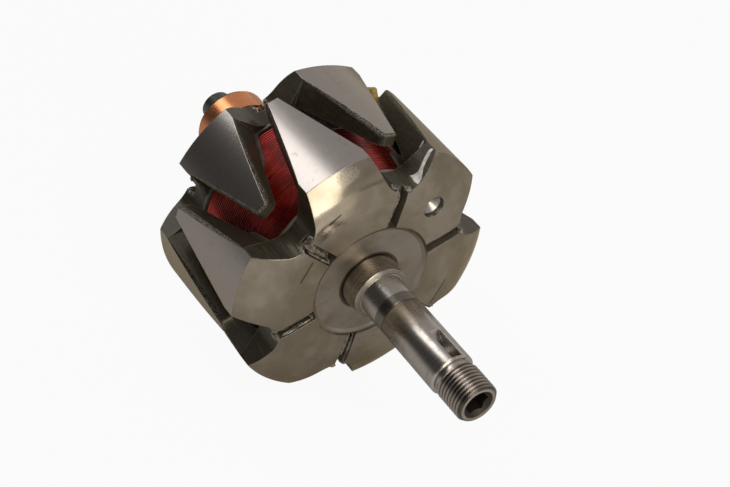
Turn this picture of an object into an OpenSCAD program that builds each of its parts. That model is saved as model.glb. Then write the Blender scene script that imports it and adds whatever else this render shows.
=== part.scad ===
// Rotor of a claw pole alternator: a steel shaft with two forged claw poles pressed on either side
// of a wound core, and two slip rings behind them that carry the current to the winding.
// The shaft lies along X with the drive end at plus X. The origin is on the shaft's axis, in the plane
// of the shoulder that the drive end bearing is pushed against. All sizes are in millimetres.

/* [Claw poles] */
// Outside diameter of the claws
rotor_d = 104; // [90:1:125]
// Length over both poles, from face to face
stack_l = 66.2; // [56:0.2:80]
// Number of claws on each pole
claws = 6; // [5:1:8]
// Thickness of the disc that carries the claws
disc_t = 12.5; // [10:0.5:15]
// Depth of the rounded shoulder, from the face to the outside diameter
shoulder_l = 6.9; // [4:0.1:9]
// Length of a claw, from its own face to its tip
claw_l = 50.8; // [42:0.2:52]
// Width of a claw where it leaves the disc
claw_root_w = 25.2; // [20:0.2:27]
// Width of a claw at its tip, before the corners are rounded
claw_tip_w = 6.4; // [5:0.2:12]
// Thickness of a claw at its root
claw_root_t = 11; // [8:0.5:13]
// Thickness of a claw at its tip
claw_tip_t = 4.6; // [3:0.2:7]
// Radius on the corners of a claw's tip
claw_tip_r = 2.6; // [1:0.1:3]
// Chamfer on the outer edges of a claw at its tip, which dies out towards the root
claw_chamfer = 1.2; // [0.4:0.1:2]
// How far the sides of the arms splay towards the hub, in degrees
arm_splay = 10; // [4:1:14]
// Width of the slot between two arms
slot_w = 4.4; // [3:0.2:6]
// Depth of the slot between two arms
slot_depth = 4.8; // [4:0.2:8]
// Radius of the recessed pad around the shaft
pad_r = 22; // [17:0.5:25]
// Depth of the recessed pad
pad_depth = 1.3; // [0.6:0.1:3]
// Diameter of the drilled balance hole
balance_d = 8.4; // [5:0.2:9]
// Depth of the drilled balance hole, to the end of its straight wall
balance_depth = 2.4; // [2:0.2:7]
// Angle of the drive end claw that was drilled, about the shaft from plus Y
claw_angle = 40.8; // [0:0.1:60]

/* [Shaft] */
// Diameter of the shaft at the drive end bearing and the pulley
shaft_d = 17; // [15:0.5:20]
// Diameter of the shaft through the poles and the spacer, where they are pressed on
press_d = 17.6; // [15.6:0.2:20.6]
// Length of the drive end bearing seat
bearing_seat_l = 13.1; // [10:0.1:17]
// Length of the pulley seat
pulley_seat_l = 31.2; // [20:0.2:40]
// Outside diameter of the pulley nut's thread
thread_d = 16; // [12:1:16]
// Length of the thread, with its run out
thread_l = 15; // [11:0.5:20]
// Hexagon in the end of the shaft, across its flats
hex_af = 8; // [5:0.5:8]
// Depth of the hexagon
hex_depth = 9; // [6:0.5:12]
// Width of the keyway
key_w = 4; // [3:0.5:5]
// Diameter of the cutter that sank the keyway
key_cutter_d = 16; // [13:1:19]
// Depth of the keyway
key_depth = 4.2; // [2.5:0.1:5]
// Distance from the end of the pulley seat to the middle of the keyway
key_back = 7.7; // [7:0.1:12]
// Angle of the keyway about the shaft from plus Y
key_angle = 79; // [0:1:180]
// Diameter of the seat under the slip rings
ring_seat_d = 15; // [13:0.5:16.5]
// Diameter of the rear bearing seat
rear_seat_d = 12; // [10:0.5:15]
// Length of the rear bearing seat
rear_seat_l = 11.4; // [9:0.2:16]

/* [Spacer] */
// Height of the spacer above the pole's face
spacer_h = 7; // [4:0.1:10]
// Diameter of the spacer at the pole
spacer_d = 22.4; // [20:0.2:30]
// Diameter of the spacer at the bearing
spacer_end_d = 20.8; // [19:0.2:28]

/* [Winding] */
// Diameter of the iron core under the winding
core_d = 52; // [46:1:60]
// Wall of the bobbin's tube and flanges
bobbin_t = 1; // [0.6:0.1:1.5]
// Thickness of the insulating leaves that lie between winding and claws
leaf_t = 0.6; // [0.4:0.1:1]
// Reach of a leaf over the winding
leaf_l = 13; // [8:0.5:20]
// Diameter of the bare winding wire's ends
lead_d = 1.1; // [0.8:0.1:1.6]
// Outside diameter of the sleeve over a winding end
sleeve_d = 2.6; // [2:0.1:3.2]

/* [Slip rings] */
// Outside diameter of the slip rings
ring_d = 28.5; // [25:0.1:34]
// Width of a slip ring
ring_w = 9.5; // [5:0.5:10]
// Gap between the slip rings
ring_gap = 2; // [2:0.5:5]
// Thickness of a slip ring
ring_t = 2.6; // [1.5:0.1:3]
// Distance from the rear pole's face to the nearer slip ring
ring_back = 13.4; // [13:0.2:20]
// Wall of the insulating end collars beside the rings
hub_end_t = 1.2; // [0.8:0.1:2]

/* [Hidden] */
$fn = 96;
e = 0.01;
rotor_r = rotor_d / 2;
shaft_r = shaft_d / 2;
press_r = max(press_d, shaft_d + 0.4) / 2;
pitch = 360 / claws;
face_x = -spacer_h;
rear_x = face_x - stack_l;
rear_angle = claw_angle - pitch / 2;
// The face is flat out to this radius, then one arc carries it to the outside diameter.
flat_r = rotor_r * 0.635;
shoulder_r = (pow(rotor_r - flat_r, 2) + pow(shoulder_l, 2)) / (2 * shoulder_l);
// The gap between two arms is a V with a round bottom, open at the outside diameter.
gap_half = 180 / claws + arm_splay;
gap_bottom = rotor_r * 0.735;
arm_r = sqrt(pow(rotor_r, 2) - pow(claw_root_w / 2, 2));
gap_edge = [arm_r * cos(pitch / 2) + claw_root_w / 2 * sin(pitch / 2),
    arm_r * sin(pitch / 2) - claw_root_w / 2 * cos(pitch / 2)];
gap_apex = gap_edge[0] - gap_edge[1] / tan(gap_half);
gap_fillet = (gap_bottom - gap_apex) / (1 / sin(gap_half) - 1);
gap_round = gap_apex + gap_fillet / sin(gap_half);
// Claws taper from the back of the disc to the tip.
claw_lap = 3;
root_in_r = rotor_r - claw_root_t;
tip_in_r = rotor_r - claw_tip_t;
taper = atan((claw_root_w - claw_tip_w) / 2 / (claw_l - disc_t));
tip_mid = claw_tip_w / 2 + claw_tip_r * tan(taper) - claw_tip_r / cos(taper);
// Winding space between the two discs
core_l = stack_l - 2 * disc_t;
core_r = core_d / 2;
leaf_r = min(root_in_r - 0.9, gap_bottom + 0.5);
coil_r = leaf_r - leaf_t - 0.2;
coil_in_r = core_r + bobbin_t;
wind_front = face_x - disc_t - bobbin_t;
wind_rear = rear_x + disc_t + bobbin_t;
// Shaft stations, from the drive end to the rear
pulley_x = bearing_seat_l;
seat_end = bearing_seat_l + pulley_seat_l;
shaft_end = seat_end + thread_l;
relief_r = thread_d / 2 - 1;
inner_ring_x = rear_x - ring_back;
outer_ring_x = inner_ring_x - ring_w - ring_gap;
ring_end = outer_ring_x - ring_w;
hub_front = inner_ring_x + 5;
hub_rear = ring_end - hub_end_t;
rear_end = hub_rear - rear_seat_l;
rear_pad_x = rear_x + pad_depth;
ring_in_r = ring_d / 2 - ring_t;
hub_r = ring_in_r - 0.05;
// Lead route: off the winding, along the gap, in through a slot, then back to the hub
lead_r = max(coil_r + lead_d / 2 + 0.02, gap_bottom + sleeve_d / 2 + 0.2);
loop_r = rotor_r - 4.2;
lead_slot_x = rear_x + slot_depth - sleeve_d / 2 - 0.3;
lead_rise_r = pad_r + 1.5 + sleeve_d / 2 + 0.4;
lead_back_x = rear_x - sleeve_d / 2 - 2;
term_r = hub_r - 1.6;
term_t = 0.8;
term_w = 3;
lead_end_r = term_r + term_t / 2 + lead_d / 2;
start_angle = claw_angle;
finish_angle = claw_angle + 180;

// Turned pieces are drawn as radius against length and laid along the shaft.
module turned() { rotate([0, 90, 0]) rotate_extrude() children(); }

module bar(x0, x1, r) { translate([x0, 0, 0]) rotate([0, 90, 0]) cylinder(r = r, h = x1 - x0); }

module cone(x0, x1, r0, r1) {
    translate([x0, 0, 0]) rotate([0, 90, 0]) cylinder(r1 = r0, r2 = r1, h = x1 - x0);
}

module tube(x0, x1, r_in, r_out) {
    difference() {
        bar(x0, x1, r_out);
        bar(x0 - 1, x1 + 1, r_in);
    }
}

// Everything below about one pole is drawn with its face at x = 0 and its claws reaching to minus X.
module disc_section() {
    intersection() {
        union() {
            translate([flat_r, -shoulder_r]) circle(r = shoulder_r);
            translate([0, -shoulder_r * 2]) square([flat_r, shoulder_r * 2]);
        }
        translate([press_r, -disc_t]) square([rotor_r - press_r, disc_t]);
    }
}

// Ring that the claws are cut from. It starts inside the disc, so that the two join.
module claw_section() {
    polygon([[root_in_r, -disc_t + claw_lap], [root_in_r, -disc_t], [tip_in_r, -claw_l],
        [rotor_r, -claw_l], [rotor_r, -disc_t + claw_lap]]);
}

module gap_plan() {
    t = [gap_round - gap_fillet * sin(gap_half), gap_fillet * cos(gap_half)];
    far = rotor_r;
    translate([gap_round, 0]) circle(r = gap_fillet);
    reach = t + far * [cos(gap_half), sin(gap_half)];
    polygon([t, reach, [reach[0], -reach[1]], [t[0], -t[1]]]);
}

// Points of an arc about c, from one angle to another
function arc(c, r, a0, a1, n = 6) =
    [for (i = [0 : n]) let (a = a0 + (a1 - a0) * i / n) c + r * [cos(a), sin(a)]];

module claw_plan() {
    root = claw_root_w / 2 - 0.05;
    x_mid = -claw_l + claw_tip_r;
    polygon(concat([[-disc_t + claw_lap + 1, root], [-disc_t, root]],
        arc([x_mid, tip_mid], claw_tip_r, 90 + taper, 180),
        arc([x_mid, -tip_mid], claw_tip_r, 180, 270 - taper),
        [[-disc_t, -root], [-disc_t + claw_lap + 1, -root]]));
}

function unit(v) = v / norm(v);

// Everything on the outer side of a plane through two points, as far as a chamfer needs it
module shave(from, to, outward) {
    d = unit(to - from);
    t = unit(cross(outward, d));
    n = cross(d, t);
    multmatrix([[d[0], t[0], n[0], from[0]], [d[1], t[1], n[1], from[1]], [d[2], t[2], n[2], from[2]]])
        translate([-4, -6, 0]) cube([norm(to - from) + 12, 12, 5]);
}

module claw_chamfers() {
    tip_w = tip_mid + claw_tip_r * cos(taper);
    for (side = [-1, 1]) {
        root = [-disc_t, arm_r, side * claw_root_w / 2];
        tip = [-claw_l + claw_tip_r, sqrt(pow(rotor_r, 2) - pow(tip_w, 2)), side * tip_w];
        n0 = unit([-sin(taper), root[1] / rotor_r, side * (cos(taper) + claw_root_w / 2 / rotor_r)]);
        n1 = unit([-sin(taper), tip[1] / rotor_r, side * (cos(taper) + tip_w / rotor_r)]);
        shave(root - 0.12 * n0, tip - claw_chamfer * 0.7 * n1, unit(n0 + n1));
    }
    end = [-claw_l, rotor_r, -6] - claw_chamfer * 0.5 * unit([-1, 1, 0]);
    shave(end, end + [0, 0, 6], unit([-1, 1, 0]));
}

module claw_pole(drilled) {
    difference() {
        union() {
            turned() disc_section();
            intersection() {
                turned() claw_section();
                union() for (i = [0 : claws - 1]) rotate([i * pitch, 0, 0])
                    translate([0, root_in_r - 8, 0]) rotate([-90, 0, 0])
                        linear_extrude(claw_root_t + 14) claw_plan();
            }
        }
        // Gaps between the arms
        for (i = [0 : claws - 1]) rotate([(i + 0.5) * pitch, 0, 0])
            translate([-disc_t - 1, 0, 0]) rotate([90, 0, 90]) linear_extrude(disc_t + 3) gap_plan();
        // Chamfers along the sides and over the tips of the claws
        for (i = [0 : claws - 1]) rotate([i * pitch, 0, 0]) claw_chamfers();
        // Slots between the arms
        for (i = [0 : claws - 1]) rotate([(i + 0.5) * pitch, 0, 0])
            translate([-slot_depth, pad_r + 1.3, -slot_w / 2])
                cube([slot_depth + 1, gap_bottom - pad_r + 3, slot_w]);
        // Recessed pad with a sloped wall
        cone(-pad_depth, e, pad_r, pad_r + 1.5 + e);
        if (drilled) rotate([1.6, 0, 0]) translate([0, rotor_r * 0.665, 0]) {
            bar(-balance_depth, 1, balance_d / 2);
            cone(-balance_depth - balance_d * 0.29, -balance_depth + e, 0, balance_d / 2);
        }
    }
}

module front_claw_pole() {
    color("#8f8b82") translate([face_x, 0, 0]) rotate([claw_angle, 0, 0]) claw_pole(true);
}

module rear_claw_pole() {
    color("#8f8b82") translate([rear_x, 0, 0]) rotate([rear_angle, 0, 0]) mirror([1, 0, 0])
        claw_pole(false);
}

module shaft() {
    color("#a8a59d") difference() {
        union() {
            bar(rear_pad_x, 0, press_r);
            bar(-1, pulley_x - 0.4, shaft_r);
            // Narrow relief between the bearing's seat and the pulley's
            bar(pulley_x - 1, pulley_x + 1, shaft_r - 0.3);
            bar(pulley_x + 0.4, seat_end - 0.7, shaft_r);
            cone(seat_end - 0.7, seat_end, shaft_r, shaft_r - 0.7);
            bar(seat_end - 1, seat_end + 2, relief_r);
            bar(seat_end + 2, shaft_end - 1, thread_d / 2);
            cone(shaft_end - 1, shaft_end, thread_d / 2, thread_d / 2 - 1);
            bar(hub_rear, rear_pad_x, ring_seat_d / 2);
            bar(rear_end + 0.5, hub_rear, rear_seat_d / 2);
            cone(rear_end, rear_end + 0.5, rear_seat_d / 2 - 0.5, rear_seat_d / 2);
        }
        // Keyway sunk with a round cutter
        rotate([key_angle, 0, 0])
            translate([seat_end - key_back, shaft_r - key_depth + key_cutter_d / 2, -key_w / 2])
                cylinder(r = key_cutter_d / 2, h = key_w);
        // Hexagon with a countersunk mouth and a drilled bottom
        translate([shaft_end - hex_depth, 0, 0]) rotate([0, 90, 0])
            cylinder(r = hex_af / 2 / cos(30), h = hex_depth + 1, $fn = 6);
        cone(shaft_end - 0.7, shaft_end + e, hex_af / 2, hex_af / 2 / cos(30) + 0.5);
        cone(shaft_end - hex_depth - hex_af * 0.29, shaft_end - hex_depth + e, 0, hex_af / 2);
    }
}

module bearing_spacer() {
    color("#7d766c") turned() polygon([[press_r, face_x - pad_depth], [spacer_d / 2, face_x - pad_depth],
        [spacer_end_d / 2, -0.9], [press_r + 0.5, 0], [press_r, 0]]);
}

module pole_core() {
    color("#6f6a62") tube(rear_x + disc_t, face_x - disc_t, press_r, core_r);
}

module bobbin_tube() {
    color("#5a5149") tube(wind_rear, wind_front, core_r, coil_in_r);
}

// One insulator with its flange against the disc at x = 0 and its leaves folded over to minus X.
module insulator() {
    half = 180 / claws * 0.64;
    difference() {
        union() {
            bar(-bobbin_t, 0, leaf_r);
            for (i = [0 : claws - 1]) rotate([i * pitch, 0, 0]) intersection() {
                tube(-bobbin_t - leaf_l, -bobbin_t / 2, leaf_r - leaf_t, leaf_r - 0.05);
                translate([0, leaf_r - 12, 0]) rotate([-90, 0, 0]) linear_extrude(20) leaf_plan(half);
            }
        }
        bar(-leaf_l - 5, 1, core_r);
    }
}

module leaf_plan(half) {
    w = leaf_r * sin(half);
    r = 4;
    tip = w * 0.72;
    x_tip = -bobbin_t - leaf_l;
    polygon(concat([[1, w]], arc([x_tip + r, tip - r], r, 90, 180),
        arc([x_tip + r, r - tip], r, 180, 270), [[1, -w]]));
}

module front_insulator() {
    color("#8d8578") translate([face_x - disc_t, 0, 0]) rotate([claw_angle, 0, 0]) insulator();
}

module rear_insulator() {
    color("#8d8578") translate([rear_x + disc_t, 0, 0]) rotate([rear_angle, 0, 0]) mirror([1, 0, 0])
        difference() {
            insulator();
            // Notches at the rim for the two winding ends
            for (a = [start_angle, finish_angle]) rotate([a - rear_angle, 0, 0])
                translate([-bobbin_t - 1, lead_r - sleeve_d / 2 - 0.2, -sleeve_d / 2 - 0.2])
                    cube([bobbin_t + 2, 10, sleeve_d + 0.4]);
        }
}

module field_winding() {
    color("#7c2f24") tube(wind_rear, wind_front, coil_in_r, coil_r);
}

// Points of a lead as length along X and distance from the axis. It stands up in a loop before the slot.
function lead_route() = [
    [wind_rear + 9, lead_r], [wind_rear + 5.5, lead_r + 1.2], [wind_rear - 1, loop_r - 1.6],
    [wind_rear - 4, loop_r], [lead_slot_x + 2, loop_r - 3], [lead_slot_x, loop_r - 6],
    [lead_slot_x, lead_rise_r + 1], [lead_slot_x - 1, lead_rise_r], [lead_back_x, lead_rise_r - 1],
    [hub_front + 3.4, lead_end_r], [hub_front + 0.4, lead_end_r]];

// A round wire along a route in the XY plane, with a slightly fuller ball at every corner
module route(pts, r) {
    for (i = [0 : len(pts) - 2]) {
        d = pts[i + 1] - pts[i];
        translate([pts[i][0], pts[i][1], 0]) {
            rotate([0, 90, atan2(d[1], d[0])]) cylinder(r = r, h = norm(d), $fn = 24);
            if (i > 0) sphere(r = r * 1.06, $fn = 24);
        }
    }
}

module lead() { route(lead_route(), lead_d / 2); }

module lead_sleeve() {
    p = lead_route();
    q = [p[1] + 0.4 * (p[2] - p[1]), p[2], p[3], p[4], p[5], p[6], p[7], p[8],
        p[8] + 0.8 * (p[9] - p[8])];
    difference() {
        route(q, sleeve_d / 2);
        route(p, lead_d / 2 + 0.05);
    }
}

module start_lead() { color("#8a3a2c") rotate([start_angle, 0, 0]) lead(); }

module finish_lead() { color("#8a3a2c") rotate([finish_angle, 0, 0]) lead(); }

module start_lead_sleeve() { color("#c9a53a") rotate([start_angle, 0, 0]) lead_sleeve(); }

module finish_lead_sleeve() { color("#c9a53a") rotate([finish_angle, 0, 0]) lead_sleeve(); }

module slip_ring_hub() {
    color("#2b2824") difference() {
        union() {
            bar(hub_rear, hub_front, hub_r);
            bar(hub_rear, ring_end, ring_d / 2 - 0.8);
            bar(outer_ring_x, inner_ring_x - ring_w, ring_d / 2 - 0.8);
            bar(inner_ring_x, inner_ring_x + 2.5, ring_d / 2 - 0.8);
        }
        bar(hub_rear - 1, hub_front + 1, ring_seat_d / 2);
        for (a = [start_angle, finish_angle]) rotate([a, 0, 0])
            translate([hub_front - 3, term_r - term_t / 2, -term_w / 2]) cube([5, term_t, term_w]);
    }
}

module slip_ring(x) { color("#b87040") tube(x - ring_w, x, ring_in_r, ring_d / 2); }

module inner_slip_ring() { slip_ring(inner_ring_x); }

module outer_slip_ring() { slip_ring(outer_ring_x); }

module terminal() {
    translate([hub_front - 3, term_r - term_t / 2, -term_w / 2]) cube([6, term_t, term_w]);
}

module start_terminal() { color("#b87040") rotate([start_angle, 0, 0]) terminal(); }

module finish_terminal() { color("#b87040") rotate([finish_angle, 0, 0]) terminal(); }

shaft();
bearing_spacer();
front_claw_pole();
rear_claw_pole();
pole_core();
bobbin_tube();
front_insulator();
rear_insulator();
field_winding();
start_lead();
finish_lead();
start_lead_sleeve();
finish_lead_sleeve();
slip_ring_hub();
inner_slip_ring();
outer_slip_ring();
start_terminal();
finish_terminal();
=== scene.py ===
import math
import bmesh
import bpy
from mathutils import Matrix, Vector, noise


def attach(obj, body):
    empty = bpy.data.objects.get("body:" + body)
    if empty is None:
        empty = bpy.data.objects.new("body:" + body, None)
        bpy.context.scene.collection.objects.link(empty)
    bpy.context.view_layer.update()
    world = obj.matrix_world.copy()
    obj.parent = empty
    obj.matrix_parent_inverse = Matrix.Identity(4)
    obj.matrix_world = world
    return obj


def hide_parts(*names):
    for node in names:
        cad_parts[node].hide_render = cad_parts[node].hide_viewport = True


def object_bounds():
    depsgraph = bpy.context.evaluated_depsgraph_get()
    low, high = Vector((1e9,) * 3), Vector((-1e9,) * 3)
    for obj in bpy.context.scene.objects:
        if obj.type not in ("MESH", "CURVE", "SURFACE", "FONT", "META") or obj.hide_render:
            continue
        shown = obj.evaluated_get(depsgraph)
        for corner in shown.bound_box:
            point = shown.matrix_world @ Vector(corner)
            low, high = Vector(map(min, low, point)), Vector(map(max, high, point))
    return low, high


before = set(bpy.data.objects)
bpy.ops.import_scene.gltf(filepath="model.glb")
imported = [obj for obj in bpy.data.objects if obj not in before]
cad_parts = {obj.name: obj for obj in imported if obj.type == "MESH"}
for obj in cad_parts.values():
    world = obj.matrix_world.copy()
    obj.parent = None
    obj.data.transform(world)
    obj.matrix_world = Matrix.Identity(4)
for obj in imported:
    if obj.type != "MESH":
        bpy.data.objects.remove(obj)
cad_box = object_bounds()

# Shaft: one bar of steel, turned and then ground where the bearings and the pulley sit.
# The keyway is sunk with a round cutter, and the end has a hexagon to hold it while the nut is turned.
MM = 0.001
SEAT_RADIUS, SHAFT_END = 8.5, 59.3
SHAFT_STATIONS = [(-120.2, 0), (-120.2, 5.5), (-119.7, 6), (-108.8, 6), (-108.8, 7.5), (-71.9, 7.5),
                  (-71.9, 8.8), (0, 8.8), (0, SEAT_RADIUS), (12.7, SEAT_RADIUS), (12.7, 8.44), (13.5, 8.44),
                  (13.5, SEAT_RADIUS), (43.6, SEAT_RADIUS), (44.3, 7.8), (44.3, 7.0), (46.1, 7.0),
                  (46.1, 7.1), (59.1, 7.1), (SHAFT_END, 6.9), (SHAFT_END, 0)]
KEY_WIDTH, KEY_CUTTER, KEY_DEPTH, KEY_MIDDLE, KEY_ANGLE = 4, 16, 4.2, 36.6, 79
HEX_FLATS, HEX_DEPTH, HEX_OVERSHOOT = 8, 9, 1
HEX_CORNER = HEX_FLATS / 2 / math.cos(math.pi / 6)
MOUTH_STATIONS = [(SHAFT_END - 2.4, 0), (SHAFT_END - 2.0, 3.7), (SHAFT_END + 0.2, 5.9), (SHAFT_END + 0.2, 0)]
SHAFT_STEPS, CUTTER_STEPS, MOUTH_STEPS, SHAFT_SOFTENED = 144, 96, 64, 0.15
SHARP_ANGLE = 35


def turned(stations, steps):
    """A bmesh turned about the X axis from stations of length and radius in millimetres."""
    shape = bmesh.new()
    points = [shape.verts.new((x * MM, r * MM, 0)) for x, r in stations]
    for a, b in zip(points, points[1:]):
        shape.edges.new((a, b))
    bmesh.ops.spin(shape, geom=shape.verts[:] + shape.edges[:], cent=(0, 0, 0), axis=(1, 0, 0),
                   angle=2 * math.pi, steps=steps, use_merge=True)
    bmesh.ops.remove_doubles(shape, verts=shape.verts, dist=1e-7)
    bmesh.ops.recalc_face_normals(shape, faces=shape.faces)
    return shape


def soften(shape, size, above=25):
    """Break every edge of a bmesh that is sharper than an angle."""
    sharp = [e for e in shape.edges if e.is_manifold and e.calc_face_angle() > math.radians(above)]
    bmesh.ops.bevel(shape, geom=sharp, offset=size * MM, offset_type="OFFSET", affect="EDGES",
                    segments=2, profile=0.5, material=-1, clamp_overlap=True)


def piece(name, shape, material, replaces=(), smooth=SHARP_ANGLE):
    """Turn a bmesh into a finished object that rides on the rotor."""
    mesh = bpy.data.meshes.new(name)
    shape.to_mesh(mesh)
    shape.free()
    mesh.shade_smooth()
    mesh.set_sharp_from_angle(angle=math.radians(smooth))
    made = bpy.data.objects.new(name, mesh)
    bpy.context.scene.collection.objects.link(made)
    mesh.materials.append(material)
    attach(made, "root")
    if replaces:
        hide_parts(*replaces)
    return made


def cut(target, cutters):
    """Take the cutters out of an object's mesh for good."""
    for shape in cutters:
        bmesh.ops.recalc_face_normals(shape, faces=shape.faces)
        mesh = bpy.data.meshes.new("cutter")
        shape.to_mesh(mesh)
        shape.free()
        tool = bpy.data.objects.new("cutter", mesh)
        bpy.context.scene.collection.objects.link(tool)
        step = target.modifiers.new("cut", "BOOLEAN")
        step.object = tool
        step.solver = "EXACT"
        bpy.context.view_layer.update()
        evaluated = target.evaluated_get(bpy.context.evaluated_depsgraph_get())
        result = bpy.data.meshes.new_from_object(evaluated)
        target.modifiers.clear()
        target.data = result
        bpy.data.objects.remove(tool)
    target.data.shade_smooth()
    target.data.set_sharp_from_angle(angle=math.radians(SHARP_ANGLE))


class Value:
    """A shader socket that takes part in plain arithmetic."""

    def __init__(self, tree, socket):
        self.tree = tree
        self.socket = socket

    def node(self, kind, settings=None, inputs=None, output=0):
        made = self.tree.nodes.new(kind)
        for key, value in (settings or {}).items():
            setattr(made, key, value)
        for key, value in (inputs or {}).items():
            self.feed(made.inputs[key], value)
        return Value(self.tree, made.outputs[output])

    def feed(self, socket, value):
        if isinstance(value, Value):
            self.tree.links.new(value.socket, socket)
        elif socket.type == "RGBA":
            socket.default_value = (*value, 1)
        else:
            socket.default_value = value

    def math(self, operation, *others):
        return self.node("ShaderNodeMath", {"operation": operation}, dict(enumerate((self, *others))))

    def __add__(self, other):
        return self.math("ADD", other)

    __radd__ = __add__

    def __sub__(self, other):
        return self.math("SUBTRACT", other)

    def __rsub__(self, other):
        return self.node("ShaderNodeMath", {"operation": "SUBTRACT"}, {0: other, 1: self})

    def __mul__(self, other):
        return self.math("MULTIPLY", other)

    __rmul__ = __mul__

    def __truediv__(self, other):
        return self.math("DIVIDE", other)

    def __abs__(self):
        return self.math("ABSOLUTE")

    def __pow__(self, other):
        return self.math("POWER", other)

    def least(self, other):
        return self.math("MINIMUM", other)

    def most(self, other):
        return self.math("MAXIMUM", other)

    def step(self, low, high, start=0.0, end=1.0):
        """Rises smoothly from start to end while this value goes from low to high."""
        return self.node("ShaderNodeMapRange", {"interpolation_type": "SMOOTHSTEP"},
                         {"Value": self, "From Min": low, "From Max": high, "To Min": start, "To Max": end})

    def parts(self):
        split = self.node("ShaderNodeSeparateXYZ", inputs={0: self})
        return [Value(self.tree, s) for s in split.socket.node.outputs]

    def blend(self, low, high):
        """Colour between two colours, with this value as the factor."""
        return self.node("ShaderNodeMix", {"data_type": "RGBA"}, {0: self, 6: low, 7: high}, 2)

    def dot(self, other):
        return self.node("ShaderNodeVectorMath", {"operation": "DOT_PRODUCT"}, {0: self, 1: other}, 1)

    def scaled(self, size):
        return self.node("ShaderNodeVectorMath", {"operation": "MULTIPLY"}, {0: self, 1: size})

    def noise(self, scale, detail=3.0, rough=0.5):
        return self.node("ShaderNodeTexNoise", {"noise_dimensions": "3D"},
                         {"Vector": self, "Scale": scale, "Detail": detail, "Roughness": rough})


def finish(name, **constants):
    """A material with one shader. Gives the material, its shader and the place in millimetres."""
    material = bpy.data.materials.new(name)
    material.use_nodes = True
    tree = material.node_tree
    shader = tree.nodes["Principled BSDF"]
    for key, value in constants.items():
        shader.inputs[key.replace("_", " ").title()].default_value = value
    start = Value(tree, None)
    place = start.node("ShaderNodeTexCoord", output="Object")
    return material, shader, place.scaled((1 / MM, 1 / MM, 1 / MM))


def wear(shader, place, colour, roughness, height=None, strength=0.0, metallic=None, edge=0.35):
    """Feed a shader its colour, roughness and fine relief, on normals rounded over at the edges."""
    place.feed(shader.inputs["Base Color"], colour)
    place.feed(shader.inputs["Roughness"], roughness)
    if metallic is not None:
        place.feed(shader.inputs["Metallic"], metallic)
    normal = place.node("ShaderNodeBevel", {"samples": 6}, {"Radius": edge * MM})
    if height is not None:
        normal = place.node("ShaderNodeBump", inputs={"Strength": strength, "Distance": 0.1 * MM,
                                                      "Height": height, "Normal": normal})
    place.feed(shader.inputs["Normal"], normal)


def shaft_finish():
    steel, shader, place = finish("ground_shaft_steel", metallic=1.0)
    x, y, z = place.parts()
    rings = place.scaled((1, 0.04, 0.04)).noise(6, 4, 0.65)
    mottle = place.noise(0.35, 3)
    seat = x.step(12.4, 12.9, 1, 0) * x.step(-0.4, 0.2)
    band = abs(x - 11.2).step(1.9, 2.7, 1, 0)
    rear = x.step(-83, -84)
    dirt = (mottle.step(0.52, 0.68) * (1 - seat) * 0.35 + seat * 0.12).least(1)
    clean = rings.step(0.3, 0.7).blend((0.50, 0.46, 0.425), (0.60, 0.56, 0.52))
    colour = dirt.blend(clean, (0.27, 0.235, 0.205))
    colour = (band * 0.75).blend(colour, (0.14, 0.115, 0.085))
    colour = rear.blend(colour, (0.12, 0.125, 0.11))
    thread = x.step(46, 46.6)
    root = (y * y + z * z) ** 0.5
    # The thread's roots, below the crests, are coloured near black.
    thread_root_dark = thread * root.step(7.9, 7.35) * root.step(6.6, 6.95)
    colour = (thread * 0.6).blend(colour, (0.36, 0.30, 0.26))
    colour = (thread_root_dark * 0.85).blend(colour, (0.07, 0.053, 0.043))
    # Painted shade: the inside of the hex socket is coloured near black.
    socket = root.step(5.9, 5.5) * x.step(48, 49)
    colour = (socket * 0.9).blend(colour, (0.035, 0.026, 0.02))
    roughness = rings * 0.16 + 0.16 + dirt * 0.08 + thread * 0.05 + socket * 0.3
    wear(shader, place, colour, roughness, rings, 0.08, edge=0.12)
    return steel


ground_steel = shaft_finish()
shaft_shape = turned(SHAFT_STATIONS, SHAFT_STEPS)
soften(shaft_shape, SHAFT_SOFTENED)
shaft = piece("shaft_ground", shaft_shape, ground_steel, ["shaft"])
key_cut = bmesh.new()
bmesh.ops.create_cone(key_cut, cap_ends=True, segments=CUTTER_STEPS, radius1=KEY_CUTTER / 2 * MM,
                      radius2=KEY_CUTTER / 2 * MM, depth=KEY_WIDTH * MM)
bmesh.ops.translate(key_cut, verts=key_cut.verts,
                    vec=(KEY_MIDDLE * MM, (SEAT_RADIUS - KEY_DEPTH + KEY_CUTTER / 2) * MM, 0))
bmesh.ops.rotate(key_cut, verts=key_cut.verts, cent=(0, 0, 0),
                 matrix=Matrix.Rotation(math.radians(KEY_ANGLE), 3, "X"))
hex_cut = bmesh.new()
bmesh.ops.create_cone(hex_cut, cap_ends=True, segments=6, radius1=HEX_CORNER * MM, radius2=HEX_CORNER * MM,
                      depth=(HEX_DEPTH + HEX_OVERSHOOT) * MM)
bmesh.ops.rotate(hex_cut, verts=hex_cut.verts, cent=(0, 0, 0), matrix=Matrix.Rotation(math.pi / 2, 3, "Y"))
bmesh.ops.translate(hex_cut, verts=hex_cut.verts,
                    vec=((SHAFT_END - HEX_DEPTH / 2 + HEX_OVERSHOOT / 2) * MM, 0, 0))
mouth_cut = turned(MOUTH_STATIONS, MOUTH_STEPS)
cut(shaft, [key_cut, hex_cut, mouth_cut])

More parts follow.
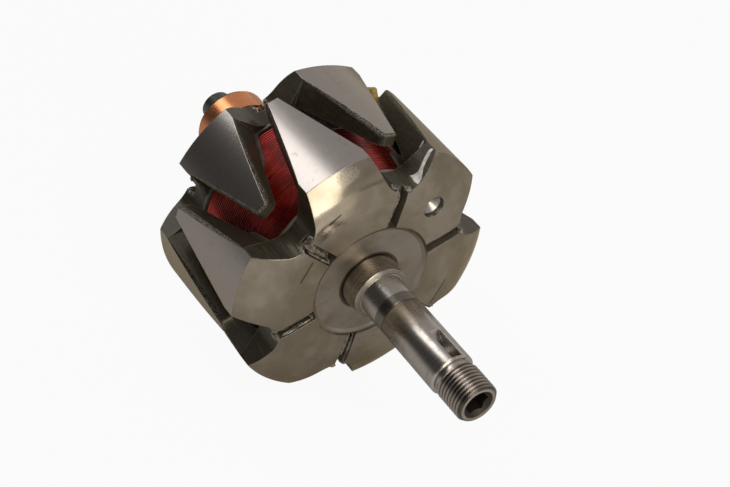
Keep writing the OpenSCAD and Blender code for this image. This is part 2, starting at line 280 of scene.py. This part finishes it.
# Pulley thread: sixteen millimetres with a pitch of one and a half, rolled on the end of the shaft.
# It stops at the turned relief, and its first turn dies away in the end's chamfer.
THREAD_PITCH, THREAD_ROOT, THREAD_CREST, THREAD_FROM, THREAD_TO = 1.5, 7.05, 8.0, 46.3, SHAFT_END
THREAD_LEAD_IN, THREAD_STEPS, THREAD_TURNS, THREAD_TRIM = 1.6, 72, 11, 0.02
END_CHAMFER, END_SLOPE, RUN_OUT_RISE, RUN_OUT_SLOPE = 1.1, 0.95, 0.1, 1.6
thread_shape = bmesh.new()
flank = [(-0.75, THREAD_ROOT), (-0.62, THREAD_ROOT + 0.03), (-0.14, THREAD_CREST - 0.06), (0, THREAD_CREST),
         (0.14, THREAD_CREST - 0.06), (0.62, THREAD_ROOT + 0.03), (0.75, THREAD_ROOT)]
ridge = [thread_shape.verts.new(((THREAD_FROM - THREAD_LEAD_IN + x) * MM, r * MM, 0)) for x, r in flank]
for a, b in zip(ridge, ridge[1:]):
    thread_shape.edges.new((a, b))


def helix(shape, start, pitch, steps, turns):
    """Spin a profile through one turn of a helix about the X axis, then repeat that turn."""
    bmesh.ops.spin(shape, geom=start, cent=(0, 0, 0), axis=(1, 0, 0), angle=2 * math.pi, steps=steps,
                   dvec=(pitch * MM / steps, 0, 0))
    one_turn = shape.verts[:] + shape.edges[:] + shape.faces[:]
    for turn in range(1, turns):
        copy = bmesh.ops.duplicate(shape, geom=one_turn)["geom"]
        bmesh.ops.translate(shape, verts=[v for v in copy if isinstance(v, bmesh.types.BMVert)],
                            vec=(turn * pitch * MM, 0, 0))
    bmesh.ops.remove_doubles(shape, verts=shape.verts, dist=0.01 * MM)
    bmesh.ops.recalc_face_normals(shape, faces=shape.faces)


helix(thread_shape, thread_shape.verts[:] + thread_shape.edges[:], THREAD_PITCH, THREAD_STEPS, THREAD_TURNS)
for place, way in ((THREAD_FROM, -1), (THREAD_TO - THREAD_TRIM, 1)):
    everything = thread_shape.verts[:] + thread_shape.edges[:] + thread_shape.faces[:]
    bmesh.ops.bisect_plane(thread_shape, geom=everything, dist=1e-7, plane_co=(place * MM, 0, 0),
                           plane_no=(way, 0, 0), clear_outer=True)
for v in thread_shape.verts:
    radius = math.hypot(v.co.y, v.co.z)
    at_end = THREAD_CREST - (v.co.x / MM - THREAD_TO + END_CHAMFER) * END_SLOPE
    at_relief = THREAD_ROOT + RUN_OUT_RISE + (v.co.x / MM - THREAD_FROM) * RUN_OUT_SLOPE
    allowed = min(THREAD_CREST, at_end, at_relief) * MM
    if radius > allowed:
        v.co.yz = v.co.yz * (allowed / radius)
bmesh.ops.recalc_face_normals(thread_shape, faces=thread_shape.faces)
piece("pulley_thread", thread_shape, ground_steel, smooth=50)


# Core and bobbin: an iron tube on the shaft carries the flux, and an insulating tube keeps the wire off it.
# Two flanges of varnished sheet close the bobbin, and only their folded leaves show in the gaps.
def core_finish():
    iron, shader, place = finish("core_iron", metallic=1.0)
    grain = place.noise(1.2, 4)
    colour = grain.blend((0.20, 0.185, 0.165), (0.33, 0.31, 0.28))
    wear(shader, place, colour, grain * 0.3 + 0.3, grain, 0.2)
    return iron


def varnished_sheet():
    sheet, shader, place = finish("varnished_sheet", coat_weight=0.35, coat_roughness=0.15)
    fibre = place.noise(2.2, 5, 0.6)
    amber = place.noise(0.25, 2)
    colour = amber.step(0.4, 0.62).blend((0.17, 0.15, 0.125), (0.27, 0.235, 0.19))
    colour = (fibre * 0.5).blend(colour, (0.10, 0.075, 0.055))
    wear(shader, place, colour, fibre * 0.2 + 0.3, fibre, 0.25, edge=0.2)
    return sheet


def dress(node, material):
    """Give a carried-over node its finish."""
    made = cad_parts[node]
    made.data.materials.clear()
    made.data.materials.append(material)


core_iron = core_finish()
insulation_sheet = varnished_sheet()
dress("pole_core", core_iron)
dress("bobbin_tube", insulation_sheet)
dress("front_insulator", insulation_sheet)
dress("rear_insulator", insulation_sheet)

# Field winding: enamelled copper wire, wound turn beside turn on the bobbin.
# The top layer is one long helix over a drum that stands for the layers under it.
WIRE, COIL_RADIUS, COIL_REAR, COIL_FRONT = 1.0, 37.9, -59.6, -20.6
DRUM_BORE, DRUM_RADIUS = 27.1, COIL_RADIUS - WIRE * 0.66
WIRE_SIDES, WIRE_STEPS, DRUM_STEPS = 10, 90, 96


def enamel_finish():
    enamel, shader, place = finish("red_wire_enamel", metallic=0.85, coat_weight=0.7, coat_roughness=0.1)
    x, y, z = place.parts()
    shade = place.noise(0.11, 2)
    run = place.scaled((3, 0.12, 0.12)).noise(1.2, 3)
    depth = (y * y + z * z) ** 0.5
    deep = run.step(0.35, 0.7).blend((0.42, 0.014, 0.009), (0.72, 0.06, 0.034))
    colour = (shade.step(0.45, 0.65) * 0.7).blend(deep, (0.13, 0.004, 0.003))
    # Painted shade: the drum and the inner half of each wire are coloured near black, for the shade between
    # the turns.
    between = depth.step(COIL_RADIUS - WIRE * 0.2, COIL_RADIUS - WIRE * 0.55)
    colour = between.blend(colour, (0.03, 0.002, 0.002))
    place.feed(shader.inputs["Base Color"], colour)
    place.feed(shader.inputs["Roughness"], run * 0.2 + 0.2)
    return enamel


red_enamel = enamel_finish()
wire_shape = bmesh.new()
bmesh.ops.create_circle(wire_shape, cap_ends=False, segments=WIRE_SIDES, radius=WIRE * 0.49 * MM)
bmesh.ops.translate(wire_shape, verts=wire_shape.verts,
                    vec=((COIL_REAR + WIRE / 2) * MM, (COIL_RADIUS - WIRE / 2) * MM, 0))
wire_turns = int((COIL_FRONT - COIL_REAR - WIRE) / WIRE)
helix(wire_shape, wire_shape.verts[:] + wire_shape.edges[:], WIRE, WIRE_STEPS, wire_turns)
piece("field_winding_wire", wire_shape, red_enamel, ["field_winding"], smooth=80)
drum_shape = turned([(COIL_REAR, DRUM_BORE), (COIL_REAR, DRUM_RADIUS), (COIL_FRONT, DRUM_RADIUS),
                     (COIL_FRONT, DRUM_BORE), (COIL_REAR, DRUM_BORE)], DRUM_STEPS)
piece("field_winding_drum", drum_shape, red_enamel, ["field_winding"])

# Claw poles: hot forged steel, pressed on from either end so that their claws interlock.
# The outside is turned true after assembly, and the sides keep their scale under dark varnish.
ROTOR_RADIUS, FRONT_FACE, REAR_FACE = 52, -7, -73.2
PAD_RADIUS, COLLAR_SHADE_RADIUS, SLOT_TOP, SLOT_FLOOR = 23.5, 11.9, 38.5, 4.6
BALANCE_RADIUS, BALANCE_ANGLE, BALANCE_HOLE = 34.58, 42.4, 4.3
FACE_SCRATCHES = [((-7, 26.1, -25.0), (-7, 32.3, -16.1)), ((-7, -28.4, 14.5), (-7, -23.6, 21.6)),
                  ((-7.6, -16.5, 35.3), (-7.6, -12.2, 37.6))]
SCRATCH_WIDTH, GRAZE_WIDTH = 0.45, 3.4
GRAZE = (-12.5, -8.2, 48.6), (-12.0, -4.6, 49.8)


def line(place, start, end, width):
    """One near the straight line between two places in millimetres, and nothing beyond the width."""
    along = (Vector(end) - Vector(start)).length
    offset = place.node("ShaderNodeVectorMath", {"operation": "SUBTRACT"}, {0: place, 1: start})
    reach = offset.dot(tuple((Vector(end) - Vector(start)).normalized()))
    inside = reach.most(0).least(along)
    apart = (offset.dot(offset) - inside * reach * 2 + inside * inside).most(0) ** 0.5
    return apart.step(width, width * 0.4)


def pole_finish(name, face, way):
    steel, shader, place = finish(name, coat_roughness=0.12, specular_tint=(0.80, 0.71, 0.54, 1))
    x, y, z = place.parts()
    radius = (y * y + z * z) ** 0.5
    normal = place.node("ShaderNodeNewGeometry", output="Normal")
    nx, ny, nz = normal.parts()
    outward = (ny * y + nz * z) / radius
    depth = (face - x) * way
    turned_off = radius.step(ROTOR_RADIUS - 0.4, ROTOR_RADIUS - 0.2) * outward.step(0.85, 0.92)
    faced = (nx * way).step(0.4, 0.5) * (depth - (radius - 37).most(0) * 0.5).step(1.6, 1.9, 1, 0)
    outer = radius.step(ROTOR_RADIUS - 2.8, ROTOR_RADIUS - 2.2)
    broken = outer * outward.step(0.45, 0.55) * outward.step(0.9, 0.84)
    hole_y = BALANCE_RADIUS * math.cos(math.radians(BALANCE_ANGLE))
    hole_z = BALANCE_RADIUS * math.sin(math.radians(BALANCE_ANGLE))
    hole = ((y - hole_y) * (y - hole_y) + (z - hole_z) * (z - hole_z)) ** 0.5
    drilled = hole.step(BALANCE_HOLE + 0.1, BALANCE_HOLE) * depth.step(0.02, 0.08) * (1 if way > 0 else 0)
    wall = (1 - turned_off - faced - drilled).most(0)
    rounded = place.node("ShaderNodeBevel", {"samples": 8}, {"Radius": 0.9 * MM})
    edge = (1 - rounded.dot(normal)).step(0.02, 0.12)
    tool_lines = place.scaled((1, 0.02, 0.02)).noise(9, 3, 0.7)
    cloud = place.noise(0.06, 3, 0.55)
    stain = place.noise(0.16, 4, 0.6)
    speck = place.noise(1.6, 3, 0.6)
    grit = place.noise(3.0, 4, 0.7)
    turned_colour = tool_lines.step(0.3, 0.7).blend((0.435, 0.395, 0.375), (0.495, 0.455, 0.435))
    turned_colour = stain.step(0.6, 0.75).blend(turned_colour, (0.345, 0.31, 0.292))
    face_colour = cloud.step(0.38, 0.62).blend((0.295, 0.254, 0.195), (0.388, 0.339, 0.28))
    face_colour = (stain.step(0.48, 0.72) * 0.55).blend(face_colour, (0.275, 0.222, 0.145))
    face_colour = (speck.step(0.66, 0.78) * 0.5).blend(face_colour, (0.20, 0.175, 0.14))
    pad = radius.step(PAD_RADIUS - 0.1, PAD_RADIUS - 0.5)
    face_colour = (pad * 0.5).blend(face_colour, (0.345, 0.312, 0.288))
    # Painted shade: a dark line along the step at the pad's edge, broken up by noise.
    rim = abs(radius - PAD_RADIUS).step(0.7, 0.25) * place.noise(0.07, 2).step(0.36, 0.56)
    face_colour = (rim * 0.85).blend(face_colour, (0.06, 0.05, 0.04))
    # Painted shade: the face is coloured near black in a ring round the collar's foot.
    collar_joint_shade = radius.step(COLLAR_SHADE_RADIUS + 0.7, COLLAR_SHADE_RADIUS)
    face_colour = (collar_joint_shade * 0.9).blend(face_colour, (0.05, 0.042, 0.035))
    old_grease = place.scaled((1, 0.5, 1)).noise(0.1, 4, 0.6).step(0.5, 0.66)
    face_colour = (old_grease * radius.step(33, 16) * 0.6).blend(face_colour, (0.20, 0.16, 0.105))
    smudge = place.dot((0, 0, 0))
    if way > 0:
        for start, end in FACE_SCRATCHES:
            scratch = line(place, start, end, SCRATCH_WIDTH)
            face_colour = (scratch * 0.85).blend(face_colour, (0.05, 0.035, 0.02))
        smudge = line(place, *GRAZE, GRAZE_WIDTH) * grit.step(0.4, 0.6)
        face_colour = (smudge * 0.55).blend(face_colour, (0.15, 0.14, 0.125))
    streak = place.scaled((0.12, 1, 1)).noise(1.5, 4, 0.6)
    wall_colour = streak.step(0.3, 0.75).blend((0.032, 0.026, 0.016), (0.076, 0.064, 0.040))
    wall_colour = (grit.step(0.55, 0.8) * 0.45).blend(wall_colour, (0.17, 0.15, 0.115))
    chips = place.noise(2.0, 4, 0.7)
    exposed = radius.step(ROTOR_RADIUS - 1.4, ROTOR_RADIUS - 0.2) * 0.6 + 0.15
    rubbed = broken * exposed * chips.step(0.44, 0.62) * (depth.step(15, 48) * 0.6 + 0.4)
    wall_colour = rubbed.blend(wall_colour, (0.52, 0.49, 0.44))
    # Painted light: the walls inside the slots are coloured lighter than the other walls, to lift the shade
    # in the narrow slots.
    slot = depth.step(SLOT_FLOOR + 0.6, SLOT_FLOOR) * radius.step(SLOT_TOP + 0.5, SLOT_TOP)
    wall_colour = (slot * 0.6).blend(wall_colour, (0.16, 0.135, 0.10))
    wall_colour = drilled.blend(wall_colour, (0.40, 0.385, 0.36))
    colour = turned_off.blend(wall_colour, turned_colour)
    colour = faced.blend(colour, face_colour)
    bare = edge * grit.step(0.4, 0.62) * (wall * (1 - broken) * 0.7 + turned_off * 0.25)
    colour = bare.blend(colour, (0.42, 0.40, 0.36))
    shoulder = radius.step(34, 36.5)
    roughness = turned_off * (tool_lines * 0.12 + 0.17) + faced * (stain * 0.08 + 0.31 - shoulder * 0.22)
    roughness = roughness + wall * (grit * 0.35 + 0.22)
    roughness = roughness + drilled * 0.3 + smudge * 0.3
    height = turned_off * tool_lines * 0.12 + faced * (speck * 0.2 + cloud * (0.5 - shoulder * 0.4))
    height = height + wall * (streak * 1.3 + grit * 1.1 + broken * chips * 2.2)
    metal = turned_off + faced * 0.85 + drilled + wall * (broken * 0.7 + 0.2)
    wear(shader, place, colour, roughness, height, 0.35, metal, 0.35)
    place.feed(shader.inputs["Coat Weight"], wall * (1 - broken) * (slot * 0.6 + 0.3))
    return steel


dress("front_claw_pole", pole_finish("front_pole_steel", FRONT_FACE, 1))
dress("rear_claw_pole", pole_finish("rear_pole_steel", REAR_FACE, -1))


# Varnish: the whole winding was dipped, and what ran off has set in the slots and on the gaps' walls.
# It lies in hard shiny lumps at the slots' mouths, in runs along the slots, and as a film on one wall, whose
# pale colour is a painted highlight.
def varnish_finish():
    resin, shader, place = finish("set_varnish", coat_weight=1.0, coat_roughness=0.04)
    tint = place.noise(0.9, 3)
    colour = tint.step(0.35, 0.65).blend((0.085, 0.068, 0.045), (0.26, 0.23, 0.18))
    wear(shader, place, colour, tint * 0.15 + 0.08, tint, 0.3, edge=0.1)
    return resin


def lump(shape, centre, size, turn, seed):
    """Add one uneven lump to a bmesh, with its three radii in millimetres and its turn about the shaft."""
    made = bmesh.ops.create_icosphere(shape, subdivisions=3, radius=1)["verts"]
    for v in made:
        swell = 1 + 0.45 * noise.noise(v.co * 1.9 + Vector((seed * 3.1, seed * 1.7, seed)))
        v.co = Vector((v.co.x * size[0], v.co.y * size[1], v.co.z * size[2])) * swell * MM
    bmesh.ops.translate(shape, verts=made, vec=Vector(centre) * MM)
    bmesh.ops.rotate(shape, verts=made, cent=(0, 0, 0), matrix=Matrix.Rotation(math.radians(turn), 3, "X"))


CLAWS, FRONT_SLOTS_FROM, REAR_SLOTS_FROM, REAR_HEAP = 6, 10.8, 40.8, 0.55
SLOT_RUNS = [((3.7, 31, 0.3), (2.0, 7.6, 1.9), 0), ((0.9, 30.6, 1.6), (0.55, 6.4, 0.5), 80)]
MOUTH_HEAPS = [((2.6, 38.4, 2.5), (2.2, 1.1, 1.2), 20), ((1.7, 38.5, -2.7), (1.6, 1.0, 1.4), 40)]
INNER_DROPS = [((2.2, 24.2, 1.3), (1.6, 0.8, 0.9), 60)]
varnish_shape = bmesh.new()
for k in range(CLAWS):
    for face, way, first, heap in ((FRONT_FACE, -1, FRONT_SLOTS_FROM, 1),
                                   (REAR_FACE, 1, REAR_SLOTS_FROM, REAR_HEAP)):
        angle = first + 360 / CLAWS * k
        first_seed = k * 2 + (way > 0)
        for lumps, share in ((SLOT_RUNS, 1), (MOUTH_HEAPS, heap), (INNER_DROPS, 1)):
            for (depth, radius, aside), size, seed in lumps:
                lump(varnish_shape, (face + way * depth, radius, aside), [share * r for r in size], angle,
                     first_seed + seed)
piece("slot_varnish", varnish_shape, varnish_finish(), smooth=60)


def painted_highlight_film_finish():
    film, shader, place = finish("varnish_film_painted_highlight", coat_weight=1.0, coat_roughness=0.03)
    tint = place.noise(0.8, 3)
    # Painted highlight: the film is coloured near white, for the lamp it mirrors.
    colour = tint.step(0.3, 0.7).blend((0.66, 0.63, 0.56), (0.84, 0.81, 0.75))
    wear(shader, place, colour, tint * 0.1 + 0.1, tint, 0.2)
    return film


FILM_TURN, FILM_THICKNESS, FILM_CAST_FROM = 31, 0.16, 25
FILM_GRID, FILM_CUTS, FILM_CORNER = 0.6, 44, (-22, 22)
FILM_LIFT, FILM_RIPPLE, RIPPLE_SCALE = 1.1, 0.5, 900
# The first outline is the film; the two small flakes are painted glints on the wall.
FILM_OUTLINES = [
    [(-16.2, 45.9), (-15.9, 46.9), (-15.3, 47.2), (-14.3, 44.6), (-13.1, 41.9), (-12.1, 40.3), (-9.2, 37.2),
     (-8.3, 34.9), (-10.2, 34.7), (-11.8, 34.9), (-13.5, 35.0), (-12.8, 36.1), (-12.4, 37.9), (-13.2, 39.6),
     (-14.3, 41.4), (-15.5, 43.8)],
    [(-20.5, 43.8), (-20.0, 44.3), (-20.6, 46.2), (-21.1, 47.0), (-21.4, 46.5), (-20.9, 45.2)],
    [(-20.6, 39.6), (-19.8, 39.5), (-19.6, 40.4), (-20.3, 40.6)]]
film_turned = Matrix.Rotation(math.radians(FILM_TURN), 3, "X")
film_shape = bmesh.new()
for outline in FILM_OUTLINES:
    film_shape.faces.new([film_shape.verts.new((x * MM, y * MM, 0)) for x, y in outline])
for k in range(FILM_CUTS):
    for across in ((1, 0, 0), (0, 1, 0)):
        spot = Vector((FILM_CORNER[0] + k * FILM_GRID, FILM_CORNER[1] + k * FILM_GRID, 0)) * MM
        everything = film_shape.verts[:] + film_shape.edges[:] + film_shape.faces[:]
        bmesh.ops.bisect_plane(film_shape, geom=everything, dist=1e-7, plane_co=spot, plane_no=across)
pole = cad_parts["front_claw_pole"]
for v in film_shape.verts:
    above = film_turned @ Vector((v.co.x, v.co.y, FILM_CAST_FROM * MM))
    _, wall_place, wall_normal, _ = pole.ray_cast(above, film_turned @ Vector((0, 0, -1)))
    lift = FILM_THICKNESS * (FILM_LIFT + FILM_RIPPLE * noise.noise(v.co * RIPPLE_SCALE))
    v.co = wall_place + wall_normal * lift * MM
bmesh.ops.recalc_face_normals(film_shape, faces=film_shape.faces)
bmesh.ops.solidify(film_shape, geom=film_shape.faces[:], thickness=FILM_THICKNESS * MM)
piece("varnish_film", film_shape, painted_highlight_film_finish(), smooth=60)


# Bearing spacer: a short turned collar, pressed on against the pole, that the drive end bearing meets.
# It has gone brown from old grease.
def spacer_finish():
    steel, shader, place = finish("browned_spacer_steel", metallic=1.0)
    x, y, z = place.parts()
    rings = place.scaled((1, 0.03, 0.03)).noise(5, 3, 0.6)
    stain = place.noise(0.25, 3)
    end = x.step(-0.8, -0.5)
    colour = stain.step(0.35, 0.65).blend((0.36, 0.32, 0.27), (0.46, 0.42, 0.365))
    radius = (y * y + z * z) ** 0.5
    rim = end * radius.step(10.2, 10.7)
    colour = (end * 0.5).blend(colour, (0.20, 0.175, 0.15))
    colour = rim.blend(colour, (0.52, 0.49, 0.45))
    # Painted shade: the collar's foot, where it meets the pole, is coloured near black.
    collar_foot_shade = x.step(-7.6, -8.1)
    colour = (collar_foot_shade * 0.9).blend(colour, (0.03, 0.025, 0.02))
    wear(shader, place, colour, rings * 0.15 + 0.2 + end * 0.16, rings, 0.12, edge=0.3)
    return steel


dress("bearing_spacer", spacer_finish())


# Winding ends: each end of the wire leaves the coil through a slot of the rear pole inside a woven sleeve.
# It is soldered to a tab in the hub.
THREADS_TURN = 9


def sleeve_finish():
    cloth, shader, place = finish("yellow_woven_sleeve", coat_weight=0.2, coat_roughness=0.3)
    x, y, z = place.parts()
    warp = ((x + y) * THREADS_TURN).math("SINE")
    weft = ((x - z) * THREADS_TURN).math("SINE")
    weave = (warp * weft) * 0.5 + 0.5
    age = place.noise(0.5, 3)
    colour = age.step(0.35, 0.65).blend((0.52, 0.34, 0.05), (0.66, 0.50, 0.11))
    colour = (weave * 0.35).blend(colour, (0.30, 0.18, 0.03))
    wear(shader, place, colour, 0.45 + weave * 0.15, weave, 0.5, edge=0.2)
    return cloth


yellow_sleeve = sleeve_finish()
for node in ("start_lead", "finish_lead"):
    dress(node, red_enamel)
for node in ("start_lead_sleeve", "finish_lead_sleeve"):
    dress(node, yellow_sleeve)


# Slip rings: two copper bands moulded into a phenolic hub, pushed on the shaft behind the rear pole.
# The brushes keep them bright.
def hub_finish():
    moulding, shader, place = finish("dark_phenolic", coat_weight=0.1)
    grain = place.noise(2.5, 4)
    colour = grain.blend((0.030, 0.026, 0.022), (0.065, 0.055, 0.048))
    wear(shader, place, colour, grain * 0.25 + 0.35, grain, 0.2)
    return moulding


def copper_finish():
    copper, shader, place = finish("polished_ring_copper", metallic=1.0)
    lines = place.scaled((1, 0.02, 0.02)).noise(7, 4, 0.7)
    tarnish = place.noise(0.2, 3)
    bright = lines.step(0.3, 0.7).blend((0.86, 0.29, 0.115), (0.95, 0.43, 0.21))
    colour = tarnish.step(0.5, 0.75).blend(bright, (0.78, 0.30, 0.14))
    wear(shader, place, colour, lines * 0.2 + 0.16, lines, 0.12, edge=0.3)
    return copper


ring_copper = copper_finish()
dress("slip_ring_hub", hub_finish())
for node in ("inner_slip_ring", "outer_slip_ring", "start_terminal", "finish_terminal"):
    dress(node, ring_copper)


# Studio: a pale paper floor under the claws, three soft lamps and the camera where the photographer stood.
# Seen by the camera the paper is white; mirrored in the steel it glows as a painted reflection: a cream
# strip in front, a weaker zone beside it and a faint glow elsewhere.
FLOOR_HEIGHT, FLOOR_RADIUS, FLOOR_CLEARANCE, FLOOR_SIDES = cad_box[0][2], 4, 0.0001, 96
floor_shape = bmesh.new()
bmesh.ops.create_circle(floor_shape, cap_ends=True, segments=FLOOR_SIDES, radius=FLOOR_RADIUS)
floor_mesh = bpy.data.meshes.new("studio_floor")
bmesh.ops.translate(floor_shape, verts=floor_shape.verts, vec=(0, 0, FLOOR_HEIGHT - FLOOR_CLEARANCE))
floor_shape.to_mesh(floor_mesh)
floor_shape.free()
floor = bpy.data.objects.new("studio_floor", floor_mesh)
bpy.context.scene.collection.objects.link(floor)
paper = bpy.data.materials.new("white_paper")
paper.use_nodes = True
paper_tree = paper.node_tree
paper_shader = paper_tree.nodes["Principled BSDF"]
paper_shader.inputs["Base Color"].default_value = (0.66, 0.65, 0.63, 1)
paper_shader.inputs["Roughness"].default_value = 0.9
paper_start = Value(paper_tree, None)
seen = paper_start.node("ShaderNodeLightPath", output="Is Camera Ray")
mirrored = paper_start.node("ShaderNodeLightPath", output="Is Glossy Ray")
glow = paper_start.node("ShaderNodeEmission", inputs={"Color": (1, 1, 1), "Strength": 1.0})
floor_x, floor_y, floor_z = paper_start.node("ShaderNodeTexCoord", output="Object").parts()
# Painted reflection: the floor glows only for mirrored rays, as a cream strip in front and a weaker zone
# beside it.
mirror_glow_strip = floor_x.step(0.105, 0.135) * (floor_y - floor_x * 0.34).step(0.012, -0.008)
mirror_glow_strip = mirror_glow_strip * (floor_y - floor_x * 0.1).step(-0.03, -0.01)
mirror_glow_emission = paper_start.node("ShaderNodeEmission", inputs={"Color": (1, 0.95, 0.86), "Strength": 1.0})
near = floor_x.step(0.03, 0.07) * floor_y.step(0.0, -0.03) * 0.16 + 0.06
bare_paper = Value(paper_tree, paper_shader.outputs[0])
whitened = seen * 0.94 + mirrored * near
shown = paper_start.node("ShaderNodeMixShader", inputs={0: whitened, 1: bare_paper, 2: glow})
shown = paper_start.node("ShaderNodeMixShader", inputs={0: mirrored * mirror_glow_strip, 1: shown, 2: mirror_glow_emission})
paper_tree.links.new(shown.socket, paper_tree.nodes["Material Output"].inputs["Surface"])
floor_mesh.materials.append(paper)


def lamp(name, place, aim, size, power, colour):
    light = bpy.data.lights.new(name, "AREA")
    light.shape = "RECTANGLE"
    light.size, light.size_y = size
    light.energy = power
    light.color = colour
    made = bpy.data.objects.new(name, light)
    made.location = place
    made.rotation_euler = (Vector(aim) - Vector(place)).to_track_quat("-Z", "Y").to_euler()
    bpy.context.scene.collection.objects.link(made)


lamp("key_softbox", (-0.675, -0.17, 0.98), (-0.02, 0, 0), (0.44, 0.80), 2.4, (1, 0.99, 0.97))
lamp("front_panel", (0.95, -0.03, 0.27), (0, 0, 0.03), (0.46, 0.62), 3.4, (1, 0.95, 0.84))
lamp("top_softbox", (0.70, 0.06, 1.02), (0, 0, 0), (0.5, 0.5), 3.0, (1, 0.98, 0.95))
world = bpy.data.worlds.new("studio")
world.use_nodes = True
bpy.context.scene.world = world
air = world.node_tree
sky = Value(air, None)
toward = sky.node("ShaderNodeTexCoord", output="Generated")
wx, wy, wz = toward.parts()
low = wz.step(0.2, 0.02) * 0.16
level = low + wz.step(-0.1, 0.9, 0.30, 0.22) * (wy - wx * 0.3).step(-0.5, 0.5, 0.20, 1.75)
room = sky.node("ShaderNodeBackground", inputs={"Color": (1.0, 0.97, 0.93), "Strength": level})
white = sky.node("ShaderNodeBackground", inputs={"Color": (1, 1, 1), "Strength": 1.0})
direct = sky.node("ShaderNodeLightPath", output="Is Camera Ray")
both = sky.node("ShaderNodeMixShader", inputs={0: direct, 1: room, 2: white})
air.links.new(both.socket, air.nodes["World Output"].inputs["Surface"])
photographer = bpy.data.cameras.new("photographer")
photographer.lens = 88.43
photographer.sensor_width = 36
photographer.sensor_fit = "HORIZONTAL"
camera = bpy.data.objects.new("photographer", photographer)
camera.location = (0.361794, -0.241488, 0.448300)
camera.rotation_euler = (math.radians(45.737), math.radians(-0.847), math.radians(57.918))
bpy.context.scene.collection.objects.link(camera)
bpy.context.scene.camera = camera
bpy.context.scene.view_settings.view_transform = "Standard"
